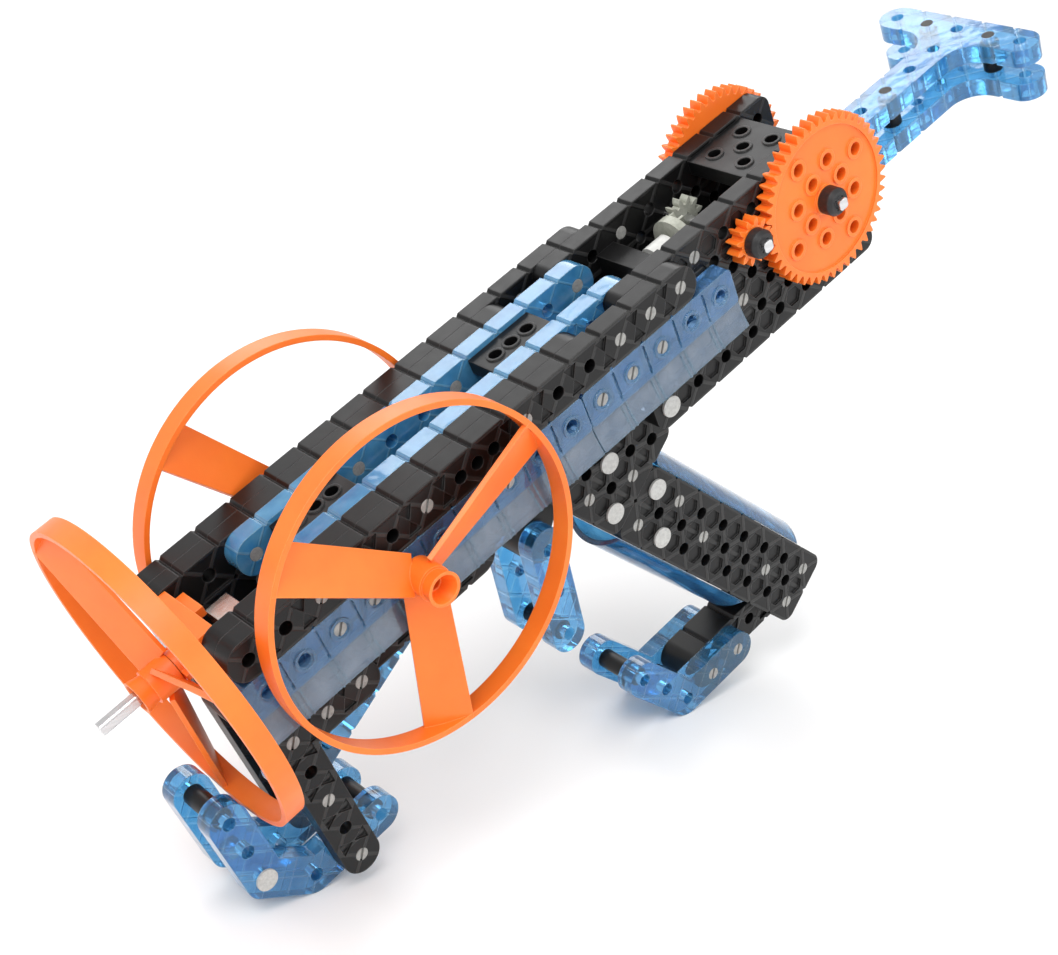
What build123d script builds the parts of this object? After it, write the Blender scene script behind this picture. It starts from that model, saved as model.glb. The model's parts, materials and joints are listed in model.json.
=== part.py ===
from build123d import *
import os
from math import acos, atan2, cos, degrees, hypot, pi, radians, sin, tan

os.makedirs("parts", exist_ok=True)

# Toy rotor launcher built from a beam kit. Everything is laid out on the kit's hole grid:
# u runs along the body to the rear, v runs across it from the right outer face to the left,
# n runs up, square to the body. All three are counted in hole pitches.

# ---------------------------------------------------------------- driving dimensions, mm
PITCH = 12.7
MID_V = 2.0
HOLE_R = 2.1
PIN_R = 2.05
CAP_R = 3.4
CAP_T = 0.8
SLOT_W = 0.9
POCKET = 0.8
NOTCH = 1.3
WEDGE_R = 2.9
WEDGE_OFF = 3.1
CELL_R = 3.4
RIM_R = 3.4
RIM_T = 0.5
SHAFT_SIDE = 3.5

MODULE = 2 * hypot(2.5, 0.5) * PITCH / 60
PRESSURE = 25.0
BACKLASH = 0.22
BIG_TEETH = 48
SMALL_TEETH = 12
SMALL_R = MODULE * SMALL_TEETH / 2

DRIVE = (18.0, -1.0)
CROSS = (15.5, -0.5)
SHAFT_N = -0.5

RING_R = 4 * PITCH
RING_T = 1.8
RING_W = 6.4
HUB_BASE = 2.5
STORE = (4.0, -1.0)
NOSE_U = -1.15

GRIP_HOLE = (11.0, -3.0)
GRIP_TURN = 60.0
FOOT_CORNER = (-1.0, -7.0)
BRACE_FOOT = (0.0, -5.0)
BRACE_TOP = (5.0, -3.0)
TRIGGER_PIVOT = (8.77, -3.13)
STROKE = 12 * PITCH

nodes = {}


# ---------------------------------------------------------------- flat kit pieces
def spots(u0, u1, n0, n1, shift=0.0):
    """Grid points, in mm, from hole (u0, n0) to hole (u1, n1)."""
    columns = round(u1 - u0 - 2 * shift) + 1
    rows = round(n1 - n0 - 2 * shift) + 1
    return [((u0 + shift + i) * PITCH, (n0 + shift + j) * PITCH)
            for i in range(columns) for j in range(rows)]


def at(points, shape):
    return [Pos(x, y) * shape for x, y in points]


def panel(u0, u1, n0, n1, corner=4.0):
    """Outline of a flat piece that covers the holes from (u0, n0) to (u1, n1)."""
    width = (u1 - u0 + 1) * PITCH
    height = (n1 - n0 + 1) * PITCH
    corner = min(corner, 0.49 * min(width, height)) if min(width, height) > PITCH else 6.2
    centre = Pos((u0 + u1) / 2 * PITCH, (n0 + n1) / 2 * PITCH)
    return centre * RectangleRounded(width, height, corner)


def edge_notches(u0, u1, n0, n1):
    """Points on the outline halfway between holes."""
    top = [(x, (n1 + 0.5) * PITCH) for x, _ in spots(u0 + 0.5, u1 - 0.5, 0, 0)]
    low = [(x, (n0 - 0.5) * PITCH) for x, _ in top]
    ends = []
    if n1 > n0:
        rows = [y for _, y in spots(0, 0, n0 + 0.5, n1 - 0.5)]
        ends = [(x, y) for y in rows for x in ((u0 - 0.5) * PITCH, (u1 + 0.5) * PITCH)]
    return top + low + ends


def slab(outline, v0, v1, pockets=()):
    """Extrudes an outline across the layers v0 to v1, with shallow pockets in the v0 face."""
    depth = (v1 - v0) * PITCH
    place = Pos(0, (v1 - MID_V) * PITCH, 0)
    body = extrude(Plane.XZ * outline, depth)
    if pockets:
        body = body - [Pos(0, POCKET - depth, 0) * extrude(Plane.XZ * one, POCKET) for one in pockets]
    return place * body


def wedges(gaps, upright=False):
    """Pairs of triangular pockets, tip to tip, between neighbouring holes of a beam."""
    pockets = []
    for side in (-1, 1):
        wedge = Pos(0, side * WEDGE_OFF) * Rot(0, 0, -90 * side) * RegularPolygon(WEDGE_R, 3)
        pockets += at(gaps, Rot(0, 0, 90 if upright else 0) * wedge)
    return pockets


def beam(u0, u1, n, v0, v1, middle=False):
    """A kit beam, one hole wide, along u."""
    outline = panel(u0, u1, n, n)
    outline -= at(edge_notches(u0, u1, n, n), Rot(0, 0, 45) * Rectangle(NOTCH, NOTCH))
    outline -= at(spots(u0, u1, n, n), Circle(HOLE_R))
    gaps = spots(u0 + 0.5, u1 - 0.5, n, n)
    centre = ((u0 + u1) / 2 * PITCH, n * PITCH)
    if middle:
        outline -= at([centre], Circle(HOLE_R))
        gaps = [gap for gap in gaps if abs(gap[0] - centre[0]) > 1]
    return slab(outline, v0, v1, wedges(gaps))


def plate(u0, u1, n0, n1, v0, v1):
    """A kit plate, two or more holes wide, with a hole in the middle of every four."""
    outline = panel(u0, u1, n0, n1)
    outline -= at(edge_notches(u0, u1, n0, n1), Rot(0, 0, 45) * Rectangle(NOTCH, NOTCH))
    outline -= at(spots(u0, u1, n0, n1), Circle(HOLE_R))
    outline -= at(spots(u0, u1, n0, n1, 0.5), Circle(HOLE_R))
    between = spots(u0 + 0.5, u1 - 0.5, n0, n1) + spots(u0, u1, n0 + 0.5, n1 - 0.5)
    return slab(outline, v0, v1, at(between, RegularPolygon(CELL_R, 6)))


def capsule(start, end, width):
    """Outline of one straight arm between two hole centres."""
    run = hypot(end[0] - start[0], end[1] - start[1]) * PITCH
    turn = degrees(atan2(end[1] - start[1], end[0] - start[0]))
    centre = Pos((start[0] + end[0]) / 2 * PITCH, (start[1] + end[1]) / 2 * PITCH)
    return centre * Rot(0, 0, turn) * SlotCenterToCenter(run, width * PITCH)


def bent(path, holes, v0, v1, width=0.98, pockets=()):
    """A bent beam that follows a path of hole positions."""
    outline = capsule(path[0], path[1], width)
    for start, end in zip(path[1:], path[2:]):
        outline += capsule(start, end, width)
    outline -= at([(u * PITCH, n * PITCH) for u, n in holes], Circle(HOLE_R))
    return slab(outline, v0, v1, pockets)


def both(name, part):
    """Stores a right-hand piece and its mirror image on the left."""
    nodes[name + "_right"] = part
    nodes[name + "_left"] = mirror(part, about=Plane.XZ)


def pair(name, part):
    """Stores a right-hand piece and its mirror image as one group."""
    nodes[name] = Part() + [part, mirror(part, about=Plane.XZ)]


# ---------------------------------------------------------------- round kit pieces
def rod(u, n, v0, v1, radius):
    """A round bar across the body."""
    bar = Rot(90, 0, 0) * Cylinder(radius, (v1 - v0) * PITCH)
    return Pos(u * PITCH, ((v0 + v1) / 2 - MID_V) * PITCH, n * PITCH) * bar


def tube(u, n, v0, v1):
    """A spacer sleeve on a pin across the body."""
    return rod(u, n, v0, v1, 3.2) - rod(u, n, v0 - 0.1, v1 + 0.1, HOLE_R)


def square_bar(length):
    """Shaft stock along z: a square bar with its corners turned down to the pin radius."""
    return Cylinder(PIN_R, length) & Box(SHAFT_SIDE, SHAFT_SIDE, length)


def cross_shaft(u, n, v0, v1):
    bar = Rot(90, 0, 0) * square_bar((v1 - v0) * PITCH)
    return Pos(u * PITCH, ((v0 + v1) / 2 - MID_V) * PITCH, n * PITCH) * bar


def shaft_hole(u, n, v0, v1):
    """Square bore that grips a cross shaft."""
    bore = Rot(90, 0, 0) * Box(SHAFT_SIDE, SHAFT_SIDE, (v1 - v0) * PITCH + 2)
    return Pos(u * PITCH, ((v0 + v1) / 2 - MID_V) * PITCH, n * PITCH) * bore


def pin(u, n, v0, v1, cap=False):
    """A connector pin with a slotted end, or with a flat round cap, on the face at v0."""
    body = rod(u, n, v0, v1, PIN_R)
    face = (v0 - MID_V) * PITCH
    if cap:
        return body + Pos(u * PITCH, face - CAP_T / 2, n * PITCH) * Rot(90, 0, 0) * Cylinder(CAP_R, CAP_T)
    groove = Pos(u * PITCH, face, n * PITCH) * Rot(0, 35, 0) * Box(SLOT_W, 1.6, 3 * PIN_R)
    return body - groove


def on_grip(k, j):
    """Grid position (k down the grip, j across it towards the front) in body pitches."""
    turn = radians(GRIP_TURN)
    across = j + 1
    u = GRIP_HOLE[0] + k * cos(turn) - across * sin(turn)
    n = GRIP_HOLE[1] - k * sin(turn) - across * cos(turn)
    return (u, n)


def tilt_to_grip(part):
    u, n = on_grip(0, 0)
    return Pos(u * PITCH, 0, n * PITCH) * Rot(0, GRIP_TURN, 0) * part


def heel_hole():
    """Hole of the rear foot that comes down on the ground."""
    u, n = on_grip(9, 1)
    return (u - 4, n)


def ground_tilt():
    """Angle, in degrees, at which the body leans back on its front and rear feet."""
    u, n = heel_hole()
    return degrees(atan2(FOOT_CORNER[1] - n, u - FOOT_CORNER[0]))


# ---------------------------------------------------------------- gears
def involute_turn(radius, base):
    """Angle, in radians, by which an involute has turned at a radius."""
    if radius <= base:
        return 0.0
    angle = acos(base / radius)
    return tan(angle) - angle


def gear_outline(teeth, phase):
    """Spur gear outline with a tooth centred on the angle phase, in degrees."""
    radius = MODULE * teeth / 2
    base = radius * cos(radians(PRESSURE))
    root = radius - 1.25 * MODULE
    half = (pi * MODULE / 2 - BACKLASH) / (2 * radius) + involute_turn(radius, base)
    steps = [max(root, base), radius, radius + MODULE]
    points = []
    for tooth in range(teeth):
        middle = radians(phase) + 2 * pi * tooth / teeth
        flank = [(r, half - involute_turn(r, base)) for r in steps]
        if root < base:
            flank = [(root, half)] + flank
        rise = [(r, middle - a) for r, a in flank]
        fall = [(r, middle + a) for r, a in reversed(flank)]
        points += [(r * cos(a), r * sin(a)) for r, a in rise + fall]
    return make_face(Polyline(*points, close=True))


def gear(place, teeth, phase, v0, v1):
    """A spur gear on a cross shaft, with its square bore."""
    outline = Pos(place[0] * PITCH, place[1] * PITCH) * gear_outline(teeth, phase)
    return slab(outline, v0, v1) - shaft_hole(place[0], place[1], v0, v1)


def mesh_angle():
    """Direction from the big gear's centre to the small gear's centre, in degrees."""
    return degrees(atan2(CROSS[1] - DRIVE[1], CROSS[0] - DRIVE[0]))


def big_gear():
    """Large gear: raised toothed rim, thinner web and the kit's grid of pin holes."""
    face, back = 0.10, 0.48
    part = gear(DRIVE, BIG_TEETH, mesh_angle(), face, back)
    recess = rod(DRIVE[0], DRIVE[1], face - 0.01, face + 0.06, 23.2)
    boss = rod(DRIVE[0], DRIVE[1], face, face + 0.2, 4.8)
    part -= recess - boss
    ring = [(1, 0), (0, 1), (-1, 0), (0, -1), (0.5, 0.5), (-0.5, 0.5), (-0.5, -0.5), (0.5, -0.5)]
    ring += [(1, 1), (-1, 1), (-1, -1), (1, -1)]
    turn = radians(-18.4)
    for a, b in ring:
        u = DRIVE[0] + a * cos(turn) - b * sin(turn)
        n = DRIVE[1] + a * sin(turn) + b * cos(turn)
        part += rod(u, n, face + 0.01, face + 0.2, 3.3)
        part -= rod(u, n, face - 0.1, back + 0.1, HOLE_R)
    return part


def rack_bar(u0, u1, base_n, v0, v1):
    """Straight rack with its teeth up, a gap centred under the drive shaft."""
    pitch_line = DRIVE[1] * PITCH - SMALL_R
    step = pi * MODULE
    half = (step / 2 - BACKLASH) / 2
    slope = tan(radians(PRESSURE))
    low = pitch_line - 1.25 * MODULE
    high = pitch_line + MODULE
    points = [(u0 * PITCH, base_n * PITCH), (u0 * PITCH, low)]
    first = round((u0 * PITCH + step - DRIVE[0] * PITCH) / step)
    last = round((u1 * PITCH - step - DRIVE[0] * PITCH) / step)
    for tooth in range(first, last):
        x = DRIVE[0] * PITCH + (tooth + 0.5) * step
        foot = half + (pitch_line - low) * slope
        tip = half - MODULE * slope
        points += [(x - foot, low), (x - tip, high), (x + tip, high), (x + foot, low)]
    points += [(u1 * PITCH, low), (u1 * PITCH, base_n * PITCH)]
    return slab(make_face(Polyline(*points, close=True)), v0, v1)


def crown_gear():
    """Face gear on the output shaft; its teeth point to the rear."""
    face = CROSS[0] * PITCH - SMALL_R - 1.3 * MODULE
    disc = Pos(face - 1.6, 0, SHAFT_N * PITCH) * Rot(0, 90, 0) * Cylinder(8.2, 3.2)
    height = 1.8 * MODULE
    half = 0.4
    tooth = Pos(face + height / 2 - 0.05, SMALL_R, 0) * Box(height + 0.1, 3.2, 2 * half)
    step = 360 / SMALL_TEETH
    for number in range(SMALL_TEETH):
        turned = Rot(step * (number + 0.5), 0, 0) * tooth
        disc += Pos(0, 0, SHAFT_N * PITCH) * turned
    bore = Pos(face, 0, SHAFT_N * PITCH) * Box(20, SHAFT_SIDE, SHAFT_SIDE)
    return disc - bore


# ---------------------------------------------------------------- rotors
def blade(angle):
    """One twisted blade between hub and ring, seen along +z, at an angle round the hub."""
    inner, outer = 4.0, RING_R - 1.0
    root = Plane(origin=(inner, 0, 0), x_dir=(0, 1, 0), z_dir=(1, 0, 0))
    tip = Plane(origin=(outer, 0, 0), x_dir=(0, 1, 0), z_dir=(1, 0, 0))
    broad = loft([root * Rot(0, 0, 32) * Rectangle(12.0, 1.5), tip * Rot(0, 0, 21) * Rectangle(14.5, 1.5)])
    return Rot(0, 0, angle) * broad


def rotor():
    """A ringed three-blade rotor: axis z, ring centred on z = 0, open tube on the +z side."""
    ring = Cylinder(RING_R, RING_W) - Cylinder(RING_R - RING_T, RING_W)
    hub = Pos(0, 0, 4.0 - HUB_BASE) * Cylinder(5.2, 8.0)
    mouth = Pos(0, 0, 7.6) * Cone(4.4, 5.2, 4.4)
    part = ring + hub + mouth
    for number in range(3):
        part += blade(120 * number) & Cylinder(RING_R - 0.5, 20)
    part -= Cylinder(HOLE_R, 60)
    return part - Pos(0, 0, 7.4) * Cone(2.4, 4.3, 5.0)


def side_rotor(side, turn):
    """A rotor stored beside the body (side -1 is right): axis across it, tube end outwards."""
    place = Pos(STORE[0] * PITCH, side * (0.46 + MID_V) * PITCH, STORE[1] * PITCH)
    return place * Rot(-90 * side, 0, 0) * Rot(0, 0, turn) * rotor()


def nose_rotor(u, turn):
    """The rotor on the output shaft: axis along the body, tube end towards the front."""
    return Pos(u * PITCH, 0, SHAFT_N * PITCH) * Rot(0, -90, 0) * Rot(0, 0, turn) * rotor()


# ---------------------------------------------------------------- body frame
def make_body():
    both("outer_beam", beam(0, 13, 0, 0, 0.5, middle=True))
    both("inner_beam", beam(0, 10, 0, 0.5, 1))
    both("inner_plate", plate(0, 10, -2, -1, 0.5, 1))
    both("rear_plate", plate(12, 19, -3, 0, 0.5, 1))
    both("channel_beam", beam(2, 12, 0, 1, 1.5))
    pair("lower_beams", beam(0, 6, -3, 1, 1.5))
    both("side_panel_front", side_panel(0, 9))
    both("side_panel_rear", side_panel(10, 14))
    nodes["connectors"] = Part() + [channel_connector(3.0), channel_connector(9.0), top_connector()]
    nodes["slide_floor"] = slide_floor()
    nodes["nose_housing"] = nose_housing()
    nodes["shaft_bearings"] = Part() + [bearing(3.6, 4.1, 1.5, 2.5), bearing(13.1, 13.7, 1.0, 3.0)]


def lip_outline(proud):
    """Section of the lip below a side panel, curving outwards, swelled by a little."""
    top = ((0.42 - MID_V) * PITCH, -1.46 * PITCH)
    low = ((-0.1 - MID_V) * PITCH - proud, -2.2 * PITCH)
    bend = ((0.0 - MID_V) * PITCH - proud, -1.85 * PITCH)
    outer = ThreePointArc(((0.05 - MID_V) * PITCH - proud, top[1]), bend, low)
    toe = Line(low, (low[0] + 1.8 + proud, low[1] - 0.6))
    inner = ThreePointArc(toe @ 1, ((0.2 - MID_V) * PITCH, -1.9 * PITCH), top)
    return make_face(outer + toe + inner + Line(inner @ 1, outer @ 0))


def side_panel(first, last):
    """Clear side panel: a strip of rimmed holes, marked off in cells, with a ribbed lip below it."""
    gap, groove = 0.2, 0.9
    start = (first - 0.5) * PITCH + gap
    length = (last - first + 1) * PITCH - 2 * gap
    centre = Pos((first + last) / 2 * PITCH, -PITCH)
    strip = centre * RectangleRounded(length, PITCH - 0.1, 1.5)
    strip -= at(spots(first, last, -1, -1), Circle(HOLE_R))
    joints = spots(first + 0.5, last - 0.5, -1, -1)
    part = slab(strip, 0, 0.5, at(joints, RectangleRounded(groove, PITCH - 2, 0.4)))
    for u in range(first, last + 1):
        rim = rod(u, -1, -RIM_T / PITCH, 0.01, RIM_R)
        part += rim - rod(u, -1, -0.1, 0.02, HOLE_R + 0.5)
    part += Pos(start, 0, 0) * extrude(Plane.YZ * lip_outline(0), length)
    for x, _ in joints:
        for side in (-1, 1):
            part += Pos(x + side * groove - 0.25, 0, 0) * extrude(Plane.YZ * lip_outline(0.4), 0.5)
    return part


def channel_connector(first):
    """Three-hole corner connector across the channel, holes up."""
    block = Pos((first + 0.5) * PITCH, 0, 0.187 * PITCH) * Box(1.9 * PITCH, PITCH, 0.374 * PITCH)
    holes = [Pos((first + k / 2) * PITCH, 0, 0) * Cylinder(HOLE_R, PITCH) for k in range(3)]
    rings = [Pos((first + k / 2) * PITCH, 0, 0.374 * PITCH) * Cylinder(2.9, 0.8) for k in range(3)]
    return block + rings - holes


def top_connector():
    """Square connector that ties the two rear plates, five holes up."""
    centre = 17.5 * PITCH
    block = Pos(centre, 0, 0.2 * PITCH) * Box(1.96 * PITCH, 2 * PITCH, 0.4 * PITCH)
    spread = [(0, 0)] + [(a, b) for a in (-0.5, 0.5) for b in (-0.5, 0.5)]
    for a, b in spread:
        place = Pos(centre + a * PITCH, b * PITCH, 0.4 * PITCH)
        block += place * Cylinder(3.0, 0.8)
        block -= place * Cylinder(HOLE_R, 2 * PITCH)
    return block


def slide_floor():
    """Flat floor that the handle slides on, with a tongue in front that carries the grip."""
    height = -2.88 * PITCH
    floor = Pos(16.0 * PITCH, 0, height) * Box(6.8 * PITCH, 2 * PITCH, 0.4 * PITCH)
    tongue = Pos(11.7 * PITCH, 0, height) * Box(2.0 * PITCH, 0.96 * PITCH, 0.4 * PITCH)
    return floor + tongue - rod(*GRIP_HOLE, 1, 3, HOLE_R) - rod(12, -3, 1, 3, HOLE_R)


def nose_housing():
    """Open-fronted box between the beams' front ends that carries the output shaft."""
    wall, web = 1.8, 2.4
    depth, width, height = 0.48 * PITCH, 1.98 * PITCH, 1.9 * PITCH
    centre = Pos(-0.24 * PITCH, 0, SHAFT_N * PITCH)
    shell = Box(depth, width, height)
    shell -= Pos(-web, 0, 0) * Box(depth, width - 2 * wall, height - 2 * wall)
    shell += Pos(web / 2, 0, 0) * Rot(0, 90, 0) * Cylinder(4.6, depth - web)
    lug = Pos(depth / 2 + 1.6, 0.42 * PITCH, 0.62 * PITCH) * Box(4.0, 0.8 * PITCH, 3.0)
    return centre * (shell + lug - Rot(0, 90, 0) * Cylinder(HOLE_R, PITCH))


def bearing(u0, u1, v0, v1):
    """Block in the channel with a plain bore for the output shaft."""
    block = Box((u1 - u0) * PITCH, (v1 - v0) * PITCH, 0.9 * PITCH)
    bore = Rot(0, 90, 0) * Cylinder(HOLE_R, 2 * PITCH)
    return Pos((u0 + u1) / 2 * PITCH, 0, SHAFT_N * PITCH) * (block - bore)


# ---------------------------------------------------------------- legs, feet and grip
def make_stand():
    marks = wedges(spots(0.5, 1.5, -3, -3)) + wedges(spots(0, 0, -6.5, -3.5), upright=True)
    both("front_leg", bent([(2, -3), (0, -3), (0, -7)],
                           [(2, -3), (1, -3)] + [(0, -3 - k) for k in range(5)], 0.5, 1, pockets=marks))
    nodes["front_brace"] = front_brace()
    u, n = FOOT_CORNER
    toe = [(u + 2, n), (u, n), (u - 1, n + 1), (u - 1, n + 3)]
    both("front_foot", bent(toe, toe + [(u + 1, n), (u - 1, n + 2)], 1, 1.5))
    heel = heel_hole()
    rise = (heel[0] - 2 * cos(radians(GRIP_TURN)), heel[1] + 2 * sin(radians(GRIP_TURN)))
    middle = ((heel[0] + rise[0]) / 2, (heel[1] + rise[1]) / 2)
    pair("rear_foot_plates", bent([(heel[0] + 2, heel[1]), heel, rise],
                                   [(heel[0] + 2, heel[1]), (heel[0] + 1, heel[1]), heel, middle, rise],
                                   1, 1.5))
    arm = Pos(heel[0] * PITCH, 0, heel[1] * PITCH)
    nodes["rear_foot_beams"] = arm * beam(1, 4, 0, 1.5, 2.5)
    both("grip_plate", tilt_to_grip(plate(2, 9, -1, 0, 1, 1.5)))
    pair("grip_brackets", tilt_to_grip(plate(-1, 1, -1, 1, 1, 1.5)))
    nodes["grip_core"] = tilt_to_grip(plate(1, 3, -1, 0, 1.5, 2.5))
    nodes["grip_panel_back"] = grip_panel(0.5, 1, 1.7, 8.3)
    nodes["grip_panel_front"] = grip_panel(-1.5, -1, 1.7, 7.3)
    nodes["foot_spacers"] = Part() + [
        rod(u - 1, n + 3, 1.5, 2.5, 3.2), rod(u + 2, n, 1.5, 2.5, 3.2), rod(*rise, 1.5, 2.5, 3.2),
        tube(*BRACE_FOOT, 1, 1.5), tube(*BRACE_FOOT, 2.5, 3)]


def front_brace():
    """Clear notched beam that runs from between the front legs up to the body."""
    run = hypot(BRACE_TOP[0] - BRACE_FOOT[0], BRACE_TOP[1] - BRACE_FOOT[1])
    turn = atan2(BRACE_TOP[1] - BRACE_FOOT[1], BRACE_TOP[0] - BRACE_FOOT[0])
    outline = capsule(BRACE_FOOT, BRACE_TOP, 0.98)
    ends = (BRACE_FOOT, BRACE_TOP)
    outline -= at([(u * PITCH, n * PITCH) for u, n in ends], Circle(HOLE_R))
    notch = Rot(0, 0, degrees(turn) + 45) * Rectangle(NOTCH, NOTCH)
    for step in range(int(run)):
        for side in (-0.49, 0.49):
            u = BRACE_FOOT[0] + (step + 0.5) * cos(turn) - side * sin(turn)
            n = BRACE_FOOT[1] + (step + 0.5) * sin(turn) + side * cos(turn)
            outline -= Pos(u * PITCH, n * PITCH) * notch
    for step in range(1, int(run)):
        u = BRACE_FOOT[0] + step * cos(turn)
        n = BRACE_FOOT[1] + step * sin(turn)
        outline -= Pos(u * PITCH, n * PITCH) * Circle(HOLE_R)
    return slab(outline, 1.5, 2.5)


def grip_panel(edge, side, first, last):
    """Clear curved cover along one edge of the grip, bulging away from it."""
    width, bulge, skin = 2 * PITCH - 1, 5.5, 1.8
    arch = ThreePointArc((-width / 2, 0), (0, bulge), (width / 2, 0))
    under = ThreePointArc((width / 2 - skin, 0), (0, bulge - skin), (skin - width / 2, 0))
    shape = make_face(arch + Line(arch @ 1, under @ 0) + under + Line(under @ 1, arch @ 0))
    start = (first * PITCH, 0, edge * PITCH + side * 0.2)
    plane = Plane(origin=start, x_dir=(0, side, 0), z_dir=(1, 0, 0))
    return tilt_to_grip(extrude(plane * shape, (last - first) * PITCH))


# ---------------------------------------------------------------- pins
def make_pins():
    slotted = [pin(u, 0, 0, 1.5) for u in (2, 5, 8, 12)] + [pin(u, 0, 0, 0.5) for u in (11, 13)]
    slotted += [pin(u, -1, 0, 1) for u in (2, 3, 7, 10)] + [pin(u, -1, 0, 0.5) for u in (11, 12)]
    slotted += [pin(u, -3, 0.5, 1.5) for u in (0, 1, 2)] + [pin(0, -5, 0.5, 1), pin(0, -7, 0.5, 1.5)]
    slotted += [pin(14, 0, 0.5, 1), pin(15, -2, 0.5, 1), pin(17, -2, 0.5, 1)]
    slotted += [pin(*on_grip(k, j), 1, 1.5) for k, j in ((1, 0), (0, 1), (2, 1), (3, 0), (9, 0))]
    slotted += [pin(*on_grip(k, 0.5), 1, 1.5) for k in (4.5, 7.5)] + [pin(*on_grip(9, 1), 1, 2)]
    heel = heel_hole()
    slotted += [pin(heel[0] + k, heel[1], 1, 2) for k in (1, 2)]
    pair("slotted_pins", Part() + slotted)
    caps = [pin(*on_grip(k, j), 1, 2, cap=True) for k, j in ((0, 0), (1, 1), (2, 0), (3, 1))]
    caps += [pin(12, -3, 0.5, 1, cap=True), pin(-2, -6, 1, 1.5, cap=True)]
    pair("cap_pins", Part() + caps)
    store = rod(*STORE, -0.7, 1, PIN_R) + rod(*STORE, -0.25, -RIM_T / PITCH, 3.2)
    nodes["plain_pins"] = Part() + [
        store, mirror(store, about=Plane.XZ),
        rod(*GRIP_HOLE, 1, 3, PIN_R), rod(*TRIGGER_PIVOT, 1, 3, PIN_R),
        rod(*BRACE_FOOT, 1, 3, PIN_R), rod(*BRACE_TOP, 1, 3, PIN_R)]


# ---------------------------------------------------------------- moving parts
def handle_plate(n0, n1, front):
    """T-shaped handle plate with fillets where the stem meets the crossbar."""
    bar = Pos(25.5 * PITCH, 0) * Rot(0, 0, 90) * SlotOverall(5 * PITCH, PITCH)
    stem = Pos((front + 25) / 2 * PITCH, 0) * Rectangle((25 - front) * PITCH, PITCH)
    flare = Pos(24.6 * PITCH, 0) * Rectangle(0.8 * PITCH, 2.6 * PITCH)
    scoops = [Pos(24.2 * PITCH, side * 1.3 * PITCH) * Circle(0.8 * PITCH) for side in (-1, 1)]
    outline = bar + stem + (flare - scoops)
    holes = [(25.5, v) for v in range(-2, 3)] + [(25.5 - k, 0) for k in range(1, int(26 - front))]
    outline -= at([(u * PITCH, v * PITCH) for u, v in holes], Circle(HOLE_R))
    edges = [(25.0 - k, side) for k in range(2, int(25 - front)) for side in (-0.5, 0.5)]
    edges += [(u, v) for u in (25, 26) for v in (-1.5, 1.5)] + [(26, -0.5), (26, 0.5)]
    notch = Rot(0, 0, 45) * Rectangle(NOTCH, NOTCH)
    outline -= at([(u * PITCH, v * PITCH) for u, v in edges], notch)
    return Pos(0, 0, n0 * PITCH) * extrude(outline, (n1 - n0) * PITCH)


def make_handle():
    nodes["handle_plate_upper"] = handle_plate(-1.65, -1.15, 18.8)
    nodes["handle_plate_lower"] = handle_plate(-2.65, -2.15, 5.7)
    spacer = Cylinder(3.2, 0.5 * PITCH)
    post = Cylinder(PIN_R, 1.5 * PITCH)
    marks = [(25.5, -1), (25.5, 1), (22.5, 0)]
    nodes["handle_spacers"] = Part() + [
        Pos(u * PITCH, v * PITCH, -1.9 * PITCH) * (spacer + post) for u, v in marks]
    nodes["handle_rack"] = rack_bar(5.2, 18.75, -2.15, 1.6, 2.4)


def collar(u, n, v0, v1):
    """Rubber collar that holds a gear on its shaft, domed at its outer end."""
    dome = 0.1
    tip = Pos(u * PITCH, (v0 + dome / 2 - MID_V) * PITCH, n * PITCH) * Rot(90, 0, 0)
    body = rod(u, n, v0 + dome, v1, 4.5) + tip * Cone(4.5, 3.4, dome * PITCH)
    return body - shaft_hole(u, n, v0, v1)


def make_drive():
    nodes["drive_shaft"] = cross_shaft(*DRIVE, -0.42, 4.42)
    gear_right = big_gear()
    both("drive_gear", gear_right)
    nodes["rack_pinion"] = gear(DRIVE, SMALL_TEETH, -90, 1.65, 2.35)
    right = collar(*DRIVE, -0.3, 0.09)
    nodes["drive_collars"] = Part() + [right, mirror(right, about=Plane.XZ)]


def make_cross():
    nodes["cross_shaft"] = cross_shaft(*CROSS, -0.36, 4.36)
    pair("small_gears", gear(CROSS, SMALL_TEETH, mesh_angle() + 180 + 180 / SMALL_TEETH, 0.10, 0.48))
    offset = MID_V + SMALL_R / PITCH
    nodes["crown_pinion"] = gear(CROSS, SMALL_TEETH, 180, offset - 0.12, offset + 0.12)
    right = collar(*CROSS, -0.25, 0.09)
    nodes["cross_collars"] = Part() + [right, mirror(right, about=Plane.XZ)]


def along(u0, u1, shape_maker):
    """Places a z-axis shape along the output shaft between u0 and u1."""
    length = (u1 - u0) * PITCH
    return Pos((u0 + u1) / 2 * PITCH, 0, SHAFT_N * PITCH) * Rot(0, 90, 0) * shape_maker(length)


def make_output():
    end = CROSS[0] - (SMALL_R + 1.3 * MODULE) / PITCH
    nodes["output_shaft"] = along(-2.9, end, square_bar)
    nodes["crown_gear"] = crown_gear()
    bore = along(-4, 16, lambda length: Box(SHAFT_SIDE, SHAFT_SIDE, length))
    nodes["shaft_spacer"] = along(13.9, 14.5, lambda length: Cylinder(4.6, length)) - bore
    nodes["shaft_block"] = along(0.35, 0.95, lambda length: Box(9, 9, length)) - bore
    drum = along(-0.93, -0.51, lambda length: Cylinder(4.6, length))
    wings = along(-0.93, -0.60, lambda length: Box(1.8, 15, length))
    nodes["rotor_driver"] = drum + wings - bore


def make_rotors():
    nodes["side_rotor_right"] = side_rotor(-1, 15)
    nodes["side_rotor_left"] = side_rotor(1, 0)
    nodes["nose_rotor"] = nose_rotor(NOSE_U, 47)


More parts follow.
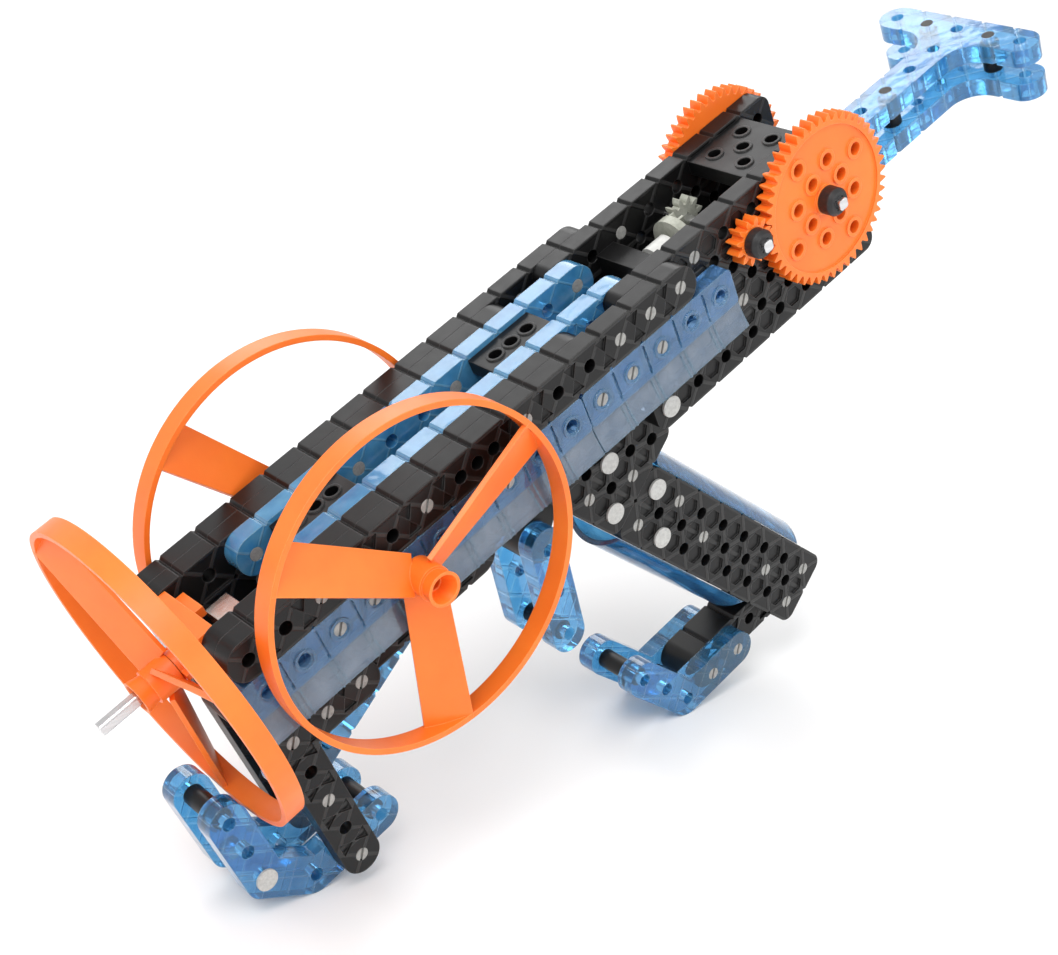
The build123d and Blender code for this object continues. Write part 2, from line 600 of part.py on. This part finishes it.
def make_trigger():
    knee, tip = (7.75, -4.35), (7.35, -6.9)
    core = bent([TRIGGER_PIVOT, knee], [TRIGGER_PIVOT, knee], 1.55, 2.45, width=0.9)
    nodes["trigger_core"] = core
    upper = (knee[0], knee[1] + 0.1)
    pair("trigger_plates", bent([upper, tip], [knee, (7.55, -5.6), tip], 1.02, 1.52))
    nodes["trigger_spacer"] = rod(*tip, 1.52, 2.48, 3.2)


make_body()
make_stand()
make_pins()
make_handle()
make_drive()
make_cross()
make_output()
make_rotors()
make_trigger()

# ---------------------------------------------------------------- stand it on its feet
level = Rot(0, -ground_tilt(), 0)
boxes = [(level * part).bounding_box() for part in nodes.values()]
low = [min(tuple(box.min)[axis] for box in boxes) for axis in range(3)]
high = [max(tuple(box.max)[axis] for box in boxes) for axis in range(3)]
stand = Pos(-(low[0] + high[0]) / 2, -(low[1] + high[1]) / 2, -low[2]) * level
for name, part in nodes.items():
    export_step(stand * part, "parts/" + name + ".step")


def report(name, u, v, n):
    """Prints where a point of the body grid ends up, in metres."""
    point = (stand * Pos(u * PITCH, (v - MID_V) * PITCH, n * PITCH)).position
    print(name, [round(value / 1000, 6) for value in point])


print(len(nodes), "nodes, size", [round(b - a, 2) for a, b in zip(low, high)], "tilt", ground_tilt())
print("rack metres per output radian", SMALL_R / 1000 * SMALL_TEETH / BIG_TEETH, "stroke", STROKE)
report("drive", *DRIVE[:1], MID_V, DRIVE[1])
report("cross", CROSS[0], MID_V, CROSS[1])
report("output", 0, MID_V, SHAFT_N)
report("trigger", TRIGGER_PIVOT[0], MID_V, TRIGGER_PIVOT[1])
report("grid origin", 0, 0, 0)
report("grid rear", 10, 0, 0)
report("grid up", 0, 0, 10)
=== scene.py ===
import json
from math import cos, pi, radians, sin

import bpy
from mathutils import Matrix, Vector


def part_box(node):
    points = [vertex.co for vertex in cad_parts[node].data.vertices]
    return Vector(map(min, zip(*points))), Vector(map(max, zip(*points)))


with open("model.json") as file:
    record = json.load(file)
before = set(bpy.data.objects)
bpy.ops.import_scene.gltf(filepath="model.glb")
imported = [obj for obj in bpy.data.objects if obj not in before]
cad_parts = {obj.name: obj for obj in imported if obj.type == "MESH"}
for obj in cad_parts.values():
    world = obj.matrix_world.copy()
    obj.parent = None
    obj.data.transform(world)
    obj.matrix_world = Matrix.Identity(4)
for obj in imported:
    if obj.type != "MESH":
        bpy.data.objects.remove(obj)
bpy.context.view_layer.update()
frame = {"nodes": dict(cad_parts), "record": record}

# Everything is in metres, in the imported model's frame, unless a comment says otherwise.
PITCH = 0.0127
LEAN = radians(24.0)

# Camera: its turn about Z, how far it looks down, and its place seen from the drive shaft.
CAMERA_TURN = radians(39.97)
CAMERA_DROP = radians(24.79)
CAMERA_FROM_DRIVE = Vector((-0.42106, -0.38421, 0.15860))
FOCAL_MM = 62.54
SENSOR_MM = 36.0
CLIP_NEAR, CLIP_FAR = 0.01, 20.0

# Stage: a floor, a white world, and three soft lights aimed at the middle of the object.
FLOOR_SIDE = 12.0
WORLD_STRENGTH = 0.85
LIGHT_TARGET = Vector((0.0, 0.0, 0.1))
LIGHTS = (
    # name, place, width and height, power in watts
    ("key", (-0.9, -0.5, 1.5), (0.9, 0.9), 16.0),
    ("fill", (0.5, -1.5, 0.9), (1.2, 0.8), 8.0),
    ("back", (0.6, 1.3, 1.2), (1.2, 0.6), 9.0),
)

DRIVE_HOLE = (18.0, -1.0)
GRIP_FIRST = (11.0, -3.0)
GRIP_TURN = radians(60.0)

BLACK_RIB = 0.045
CLEAR_RIB = 0.026
RIM_START, RIM_FULL = 0.085, 0.045
LIP_TOP, LIP_BLEND = -1.46, 0.05

# A rib is full out to its half width, and gone at this many half widths. It shows only where
# the normal has at least this much Y in it, which is on the faces that look sideways.
RIB_FADE = 1.9
FACING_SIDES = 0.9

# An edge gets a painted highlight where its rounded normal turns from the plain one, between these
# two cosines.
EDGE_START, EDGE_FULL = 0.995, 0.80
EDGE_SAMPLES = 4

# Sockets of the Mix node that blends colours; its other sockets have the same names.
MIX_FIRST, MIX_SECOND, MIX_RESULT = 6, 7, 2

# Nodes that have their own version of their slot's material, by its name in MATERIALS.
FINISH = {
    "grip_plate_right": "black_grip",
    "grip_plate_left": "black_grip",
    "grip_brackets": "black_grip",
    "grip_core": "black_grip",
    "handle_plate_upper": "clear_blue_handle",
    "handle_plate_lower": "clear_blue_handle",
    "grip_panel_back": "clear_blue_plain",
    "grip_panel_front": "clear_blue_plain",
    "front_brace": "clear_blue_plain",
    "channel_beam_right": "clear_blue_channel",
    "channel_beam_left": "clear_blue_channel",
    "side_panel_front_right": "clear_blue_panel",
    "side_panel_front_left": "clear_blue_panel",
    "side_panel_rear_right": "clear_blue_panel",
    "side_panel_rear_left": "clear_blue_panel",
    "foot_spacers": "black_plain",
    "handle_spacers": "black_plain",
    "trigger_spacer": "black_plain",
    "trigger_core": "black_plain",
    "connectors": "black_plain",
}


# ---------------------------------------------------------------- shader helpers
class Shader:
    """A material with one Principled shader, and short ways to add nodes to it."""

    def __init__(self, name):
        self.material = bpy.data.materials.new(name)
        self.material.use_nodes = True
        self.tree = self.material.node_tree
        self.shader = self.tree.nodes["Principled BSDF"]
        self.place = self.add("ShaderNodeTexCoord").outputs["Object"]

    def add(self, kind, **settings):
        node = self.tree.nodes.new(kind)
        for key, value in settings.items():
            setattr(node, key, value)
        return node

    def link(self, source, target):
        self.tree.links.new(source, target)

    def fixed(self, **values):
        for key, value in values.items():
            self.shader.inputs[key.replace("_", " ")].default_value = value

    def noise(self, scale, detail=3.0, roughness=0.55):
        node = self.add("ShaderNodeTexNoise")
        node.inputs["Scale"].default_value = scale
        node.inputs["Detail"].default_value = detail
        node.inputs["Roughness"].default_value = roughness
        self.link(self.place, node.inputs["Vector"])
        return node.outputs["Fac"]

    def ramp(self, factor, stops):
        node = self.add("ShaderNodeValToRGB")
        while len(node.color_ramp.elements) < len(stops):
            node.color_ramp.elements.new(0.5)
        for element, (position, colour) in zip(node.color_ramp.elements, stops):
            element.position = position
            element.color = (*colour, 1.0)
        self.link(factor, node.inputs["Fac"])
        return node.outputs["Color"]

    def spread(self, factor, low, high):
        node = self.add("ShaderNodeMapRange")
        node.inputs["To Min"].default_value = low
        node.inputs["To Max"].default_value = high
        self.link(factor, node.inputs["Value"])
        return node.outputs["Result"]

    def blend(self, factor, first, second):
        node = self.add("ShaderNodeMix", data_type="RGBA")
        self.link(factor, node.inputs["Factor"])
        self.link(first, node.inputs[MIX_FIRST])
        self.link(second, node.inputs[MIX_SECOND])
        return node.outputs[MIX_RESULT]

    def grid(self, hole_node, hole, lean, across="Z"):
        """Two coordinates, in pitches, along and across a beam, fixed by one known hole."""
        anchor = middle(hole_node) / PITCH
        turn = Matrix.Rotation(lean, 3, "Y")
        shift = Vector((hole[0], 0.0, hole[1])) - turn @ anchor
        node = self.add("ShaderNodeMapping")
        node.inputs["Scale"].default_value = (1 / PITCH,) * 3
        node.inputs["Rotation"].default_value = (0.0, lean, 0.0)
        node.inputs["Location"].default_value = (shift.x, 0.0, shift.z)
        self.link(self.place, node.inputs["Vector"])
        parts = self.add("ShaderNodeSeparateXYZ")
        self.link(node.outputs["Vector"], parts.inputs["Vector"])
        return parts.outputs["X"], parts.outputs[across]

    def maths(self, kind, first, second):
        node = self.add("ShaderNodeMath", operation=kind)
        for socket, value in zip(node.inputs, (first, second)):
            if isinstance(value, (int, float)):
                socket.default_value = value
            else:
                self.link(value, socket)
        return node.outputs["Value"]

    def ribs(self, along, across, half_width):
        """Mask of the crossed ribs that run from hole to hole."""
        rising = self.maths("PINGPONG", self.maths("ADD", along, across), 0.5)
        falling = self.maths("PINGPONG", self.maths("SUBTRACT", along, across), 0.5)
        nearest = self.maths("MINIMUM", rising, falling)
        return self.step(nearest, RIB_FADE * half_width, half_width)

    def rim(self, across):
        """Mask of the raised rim along both long edges of a beam."""
        nearest = self.maths("PINGPONG", self.maths("ADD", across, 0.5), 0.5)
        return self.step(nearest, RIM_START, RIM_FULL)

    def step(self, value, none, full):
        """Mask that is 0 where a value is at none, and 1 where it is at full or past it."""
        mask = self.add("ShaderNodeMapRange")
        mask.inputs["From Min"].default_value = none
        mask.inputs["From Max"].default_value = full
        self.link(value, mask.inputs["Value"])
        return mask.outputs["Result"]

    def on_sides(self, mask):
        """Keeps a mask only on faces that look along the Y axis."""
        plain = self.add("ShaderNodeNewGeometry")
        parts = self.add("ShaderNodeSeparateXYZ")
        self.link(plain.outputs["Normal"], parts.inputs["Vector"])
        sideways = self.maths("ABSOLUTE", parts.outputs["Y"], 0.0)
        return self.maths("MULTIPLY", mask, self.maths("GREATER_THAN", sideways, FACING_SIDES))

    def edge(self, radius):
        """Rounded-edge normal, and a mask that is high along sharp edges, where a highlight is
        painted.
        """
        bevel = self.add("ShaderNodeBevel", samples=EDGE_SAMPLES)
        bevel.inputs["Radius"].default_value = radius
        plain = self.add("ShaderNodeNewGeometry")
        turn = self.add("ShaderNodeVectorMath", operation="DOT_PRODUCT")
        self.link(bevel.outputs["Normal"], turn.inputs[0])
        self.link(plain.outputs["Normal"], turn.inputs[1])
        return bevel.outputs["Normal"], self.step(turn.outputs["Value"], EDGE_START, EDGE_FULL)

    def bump(self, height, distance, strength, normal):
        node = self.add("ShaderNodeBump")
        node.inputs["Strength"].default_value = strength
        node.inputs["Distance"].default_value = distance
        self.link(height, node.inputs["Height"])
        self.link(normal, node.inputs["Normal"])
        self.link(node.outputs["Normal"], self.shader.inputs["Normal"])


def middle(node):
    low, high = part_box(node)
    return (low + high) / 2


def grip_hole(u, n):
    """A position on the body's grid, turned into the grip's own grid."""
    du, dn = u - GRIP_FIRST[0], n - GRIP_FIRST[1]
    along = du * cos(GRIP_TURN) - dn * sin(GRIP_TURN)
    across = du * sin(GRIP_TURN) + dn * cos(GRIP_TURN)
    return (along, across)


# ---------------------------------------------------------------- materials
def black_plastic(name, grid=None):
    """Charcoal moulded plastic: fine grain, a painted highlight on its edges, and crossed ribs on a
    beam's sides that are bumped and carry the painted highlight too.
    """
    made = Shader(name)
    normal, highlight_mask = made.edge(radius=0.00055)
    cloud = made.noise(scale=55.0, detail=4.0)
    body = made.ramp(cloud, [(0.30, (0.0036, 0.0036, 0.0040)), (0.72, (0.0080, 0.0079, 0.0080))])
    # This lighter ramp is a painted highlight, blended in along the edges and, on a grid, the ribs.
    edge_highlight = made.ramp(cloud, [(0.20, (0.036, 0.036, 0.036)), (0.80, (0.072, 0.071, 0.069))])
    height = made.noise(scale=2600.0, detail=2.0)
    relief = {"distance": 0.00004, "strength": 0.35}
    if grid:
        along, across = made.grid(*grid)
        ribs = made.maths("MAXIMUM", made.ribs(along, across, BLACK_RIB), made.rim(across))
        raised = made.on_sides(ribs)
        # The ribs and rim get the painted highlight too, at 0.42 of its strength.
        highlight_mask = made.maths("MAXIMUM", highlight_mask, made.maths("MULTIPLY", raised, 0.42))
        height = made.maths("ADD", made.maths("MULTIPLY", height, 0.06), raised)
        relief = {"distance": 0.0004, "strength": 0.6}
    gloss = made.spread(made.noise(scale=210.0, detail=2.0), low=0.30, high=0.46)
    made.link(made.blend(highlight_mask, body, edge_highlight), made.shader.inputs["Base Color"])
    made.link(gloss, made.shader.inputs["Roughness"])
    made.fixed(Specular_IOR_Level=0.30)
    made.bump(height, normal=normal, **relief)
    return made.material


def clear_blue_plastic(name, grid=None, grey_reflection_below=None, clear=0.84):
    """Tinted clear plastic, with a painted highlight that makes its edges paler.

    On a grid, ribs inside the moulding are bumped and show as paler lines, a painted highlight.
    With grey_reflection_below, a height on that grid in pitches, there are no ribs, and below it
    the tint turns grey, a painted reflection of white studio light, as on the thin lip of a side
    panel. The lower clear is, the less light passes through."""
    made = Shader(name)
    normal, highlight_mask = made.edge(radius=0.0005)
    ripple = made.noise(scale=150.0)
    tint = made.ramp(ripple, [(0.28, (0.055, 0.31, 0.66)), (0.72, (0.15, 0.50, 0.85))])
    # This paler ramp is a painted highlight, blended in along the edges and, on a grid, the ribs.
    pale = made.ramp(ripple, [(0.28, (0.26, 0.62, 0.88)), (0.72, (0.46, 0.78, 0.96))])
    height = made.noise(scale=95.0, detail=2.0)
    if grid:
        along, across = made.grid(*grid)
        if grey_reflection_below is None:
            raised = made.ribs(along, across, CLEAR_RIB)
            # The ribs get the paler painted highlight too, at 0.4 of its strength.
            highlight_mask = made.maths("MAXIMUM", highlight_mask, made.maths("MULTIPLY", raised, 0.4))
            height = made.maths("ADD", made.maths("MULTIPLY", height, 0.8), raised)
        else:
            # Below this height the tint is blended to grey, a painted reflection of the white
            # studio light on the lip.
            lip = made.step(across, grey_reflection_below, grey_reflection_below - LIP_BLEND)
            tint = made.ramp(ripple, [(0.28, (0.08, 0.27, 0.60)), (0.72, (0.20, 0.44, 0.80))])
            lip_reflection = made.ramp(ripple, [(0.28, (0.25, 0.34, 0.47)), (0.72, (0.40, 0.49, 0.61))])
            tint = made.blend(lip, tint, lip_reflection)
    made.link(made.blend(highlight_mask, tint, pale), made.shader.inputs["Base Color"])
    made.link(made.spread(ripple, low=0.02, high=0.12), made.shader.inputs["Roughness"])
    made.fixed(IOR=1.45, Transmission_Weight=clear, Specular_IOR_Level=0.6)
    made.fixed(Coat_Weight=0.4, Coat_Roughness=0.04)
    made.bump(height, distance=0.0006, strength=0.4, normal=normal)
    return made.material


def orange_plastic():
    """Bright orange moulded plastic, satin, with faint flow marks and a painted highlight along its
    edges.
    """
    made = Shader("orange_plastic")
    normal, highlight_mask = made.edge(radius=0.0004)
    flow = made.noise(scale=38.0, detail=5.0, roughness=0.6)
    body = made.ramp(flow, [(0.25, (0.90, 0.155, 0.012)), (0.75, (1.0, 0.215, 0.022))])
    # This lighter ramp is a painted highlight, blended in along the edges.
    bright = made.ramp(flow, [(0.25, (1.0, 0.30, 0.06)), (0.75, (1.0, 0.36, 0.09))])
    gloss = made.spread(made.noise(scale=160.0, detail=2.0), low=0.32, high=0.46)
    grain = made.noise(scale=1900.0, detail=2.0)
    made.link(made.blend(highlight_mask, body, bright), made.shader.inputs["Base Color"])
    made.link(gloss, made.shader.inputs["Roughness"])
    made.fixed(Subsurface_Weight=0.08, Subsurface_Scale=0.002, Specular_IOR_Level=0.5)
    made.bump(grain, distance=0.00003, strength=0.25, normal=normal)
    return made.material


def pale_plastic(name, low, high, rough, grain):
    """Light opaque plastic with speckle and a painted highlight along its edges, for pins, caps,
    spacer and crown gear.

    low and high are the darkest and lightest tones of the speckle, grain is its scale."""
    made = Shader(name)
    normal, highlight_mask = made.edge(radius=0.0003)
    speck = made.noise(scale=grain, detail=4.0, roughness=0.7)
    # lightest and the second ramp below make a painted highlight, blended in along the edges.
    lightest = tuple(min(1.0, part * 1.25) for part in high)
    body = made.ramp(speck, [(0.32, low), (0.68, high)])
    bright = made.ramp(speck, [(0.0, high), (1.0, lightest)])
    gloss = made.spread(speck, low=rough - 0.08, high=rough + 0.08)
    made.link(made.blend(highlight_mask, body, bright), made.shader.inputs["Base Color"])
    made.link(gloss, made.shader.inputs["Roughness"])
    made.bump(speck, distance=0.00005, strength=0.3, normal=normal)
    return made.material


def bright_metal(name, tone, scale):
    """Drawn or machined metal with fine lines along X."""
    made = Shader(name)
    normal, _ = made.edge(radius=0.0003)
    stretch = made.add("ShaderNodeMapping")
    stretch.inputs["Scale"].default_value = (0.05, 1.0, 1.0)
    made.link(made.place, stretch.inputs["Vector"])
    lines = made.add("ShaderNodeTexNoise")
    lines.inputs["Scale"].default_value = scale
    made.link(stretch.outputs["Vector"], lines.inputs["Vector"])
    line = lines.outputs["Fac"]
    darker = tuple(0.82 * part for part in tone)
    made.link(made.ramp(line, [(0.3, darker), (0.7, tone)]), made.shader.inputs["Base Color"])
    made.link(made.spread(line, low=0.16, high=0.32), made.shader.inputs["Roughness"])
    made.fixed(Metallic=1.0)
    made.bump(line, distance=0.00003, strength=0.3, normal=normal)
    return made.material


def rubber():
    """Black rubber of the shaft collars, with a painted sheen where it is moulded round."""
    made = Shader("collar_rubber")
    normal, highlight_mask = made.edge(radius=0.0009)
    cloud = made.noise(scale=130.0, detail=4.0)
    body = made.ramp(cloud, [(0.3, (0.006, 0.006, 0.007)), (0.7, (0.013, 0.013, 0.014))])
    # This lighter ramp is a painted sheen, blended in along the rounded edges.
    edge_sheen = made.ramp(cloud, [(0.3, (0.030, 0.030, 0.031)), (0.7, (0.050, 0.050, 0.052))])
    made.link(made.blend(highlight_mask, body, edge_sheen), made.shader.inputs["Base Color"])
    made.link(made.spread(cloud, low=0.36, high=0.54), made.shader.inputs["Roughness"])
    grain = made.noise(scale=1700.0, detail=2.0)
    made.bump(grain, distance=0.00004, strength=0.4, normal=normal)
    return made.material


# Each grid: the node whose middle is a known hole, that hole's position, and the grid's lean.
BODY_GRID = ("drive_shaft", DRIVE_HOLE, LEAN)
HANDLE_GRID = ("drive_shaft", (DRIVE_HOLE[0] + 0.5, DRIVE_HOLE[1]), LEAN, "Y")
GRIP_GRID = ("drive_shaft", grip_hole(*DRIVE_HOLE), LEAN - GRIP_TURN)

MATERIALS = {
    "black": black_plastic("black_beam", BODY_GRID),
    "black_plain": black_plastic("black_plain"),
    "black_grip": black_plastic("black_grip", GRIP_GRID),
    "clear_blue": clear_blue_plastic("clear_blue_beam", BODY_GRID),
    "clear_blue_handle": clear_blue_plastic("clear_blue_handle", HANDLE_GRID, clear=0.76),
    "clear_blue_plain": clear_blue_plastic("clear_blue_plain"),
    "clear_blue_channel": clear_blue_plastic("clear_blue_channel", BODY_GRID, clear=0.5),
    "clear_blue_panel": clear_blue_plastic(
        "clear_blue_panel", BODY_GRID, grey_reflection_below=LIP_TOP, clear=0.7
    ),
    "orange": orange_plastic(),
    "grey_pin": pale_plastic(
        "pin_grey", low=(0.22, 0.218, 0.207), high=(0.37, 0.368, 0.352), rough=0.36, grain=700.0
    ),
    "pale_cap": pale_plastic(
        "cap_stone", low=(0.38, 0.38, 0.365), high=(0.55, 0.55, 0.53), rough=0.50, grain=900.0
    ),
    "shaft_metal": bright_metal("drawn_steel", tone=(0.74, 0.74, 0.75), scale=900.0),
    "block_metal": bright_metal("machined_block", tone=(0.80, 0.77, 0.73), scale=700.0),
    "pale_gear": pale_plastic(
        "crown_olive_grey", low=(0.36, 0.37, 0.31), high=(0.50, 0.51, 0.44), rough=0.48, grain=600.0
    ),
    "white_plastic": pale_plastic(
        "spacer_white", low=(0.70, 0.70, 0.67), high=(0.84, 0.84, 0.81), rough=0.35, grain=400.0
    ),
    "rubber_collar": rubber(),
}


def dress_nodes():
    """Gives every CAD node the material of its slot, or its own version of it."""
    slots = {row["node"]: row["material_slot"] for row in frame["record"]["subparts"]}
    for name, node in frame["nodes"].items():
        node.data.materials.clear()
        node.data.materials.append(MATERIALS[FINISH.get(name, slots[name])])


dress_nodes()


# ---------------------------------------------------------------- stage
def make_camera():
    data = bpy.data.cameras.new("camera")
    data.lens = FOCAL_MM
    data.sensor_width = SENSOR_MM
    data.clip_start = CLIP_NEAR
    data.clip_end = CLIP_FAR
    camera = bpy.data.objects.new("camera", data)
    bpy.context.scene.collection.objects.link(camera)
    turn = Matrix.Rotation(-CAMERA_TURN, 4, "Z") @ Matrix.Rotation(pi / 2 - CAMERA_DROP, 4, "X")
    camera.matrix_world = Matrix.Translation(middle("drive_shaft") + CAMERA_FROM_DRIVE) @ turn
    bpy.context.scene.camera = camera


def make_light(name, place, size, power):
    data = bpy.data.lights.new(name, "AREA")
    data.shape = "RECTANGLE"
    data.size, data.size_y = size
    data.energy = power
    light = bpy.data.objects.new(name, data)
    bpy.context.scene.collection.objects.link(light)
    light.location = place
    light.rotation_euler = (LIGHT_TARGET - Vector(place)).to_track_quat("-Z", "Y").to_euler()


def make_floor():
    mesh = bpy.data.meshes.new("floor")
    half = FLOOR_SIDE / 2
    corners = [(-half, -half, 0), (half, -half, 0), (half, half, 0), (-half, half, 0)]
    mesh.from_pydata(corners, [], [(0, 1, 2, 3)])
    floor = bpy.data.objects.new("floor", mesh)
    bpy.context.scene.collection.objects.link(floor)
    made = Shader("pale_floor")
    cloud = made.noise(scale=3.0, detail=2.0)
    shade = made.ramp(cloud, [(0.3, (0.88, 0.88, 0.88)), (0.7, (0.90, 0.90, 0.90))])
    made.link(shade, made.shader.inputs["Base Color"])
    made.fixed(Roughness=0.85)
    mesh.materials.append(made.material)


def make_world():
    world = bpy.data.worlds.new("studio")
    world.use_nodes = True
    background = world.node_tree.nodes["Background"]
    background.inputs["Color"].default_value = (1.0, 1.0, 1.0, 1.0)
    background.inputs["Strength"].default_value = WORLD_STRENGTH
    bpy.context.scene.world = world


make_camera()
make_floor()
make_world()
for row in LIGHTS:
    make_light(*row)
bpy.context.scene.view_settings.view_transform = "Standard"
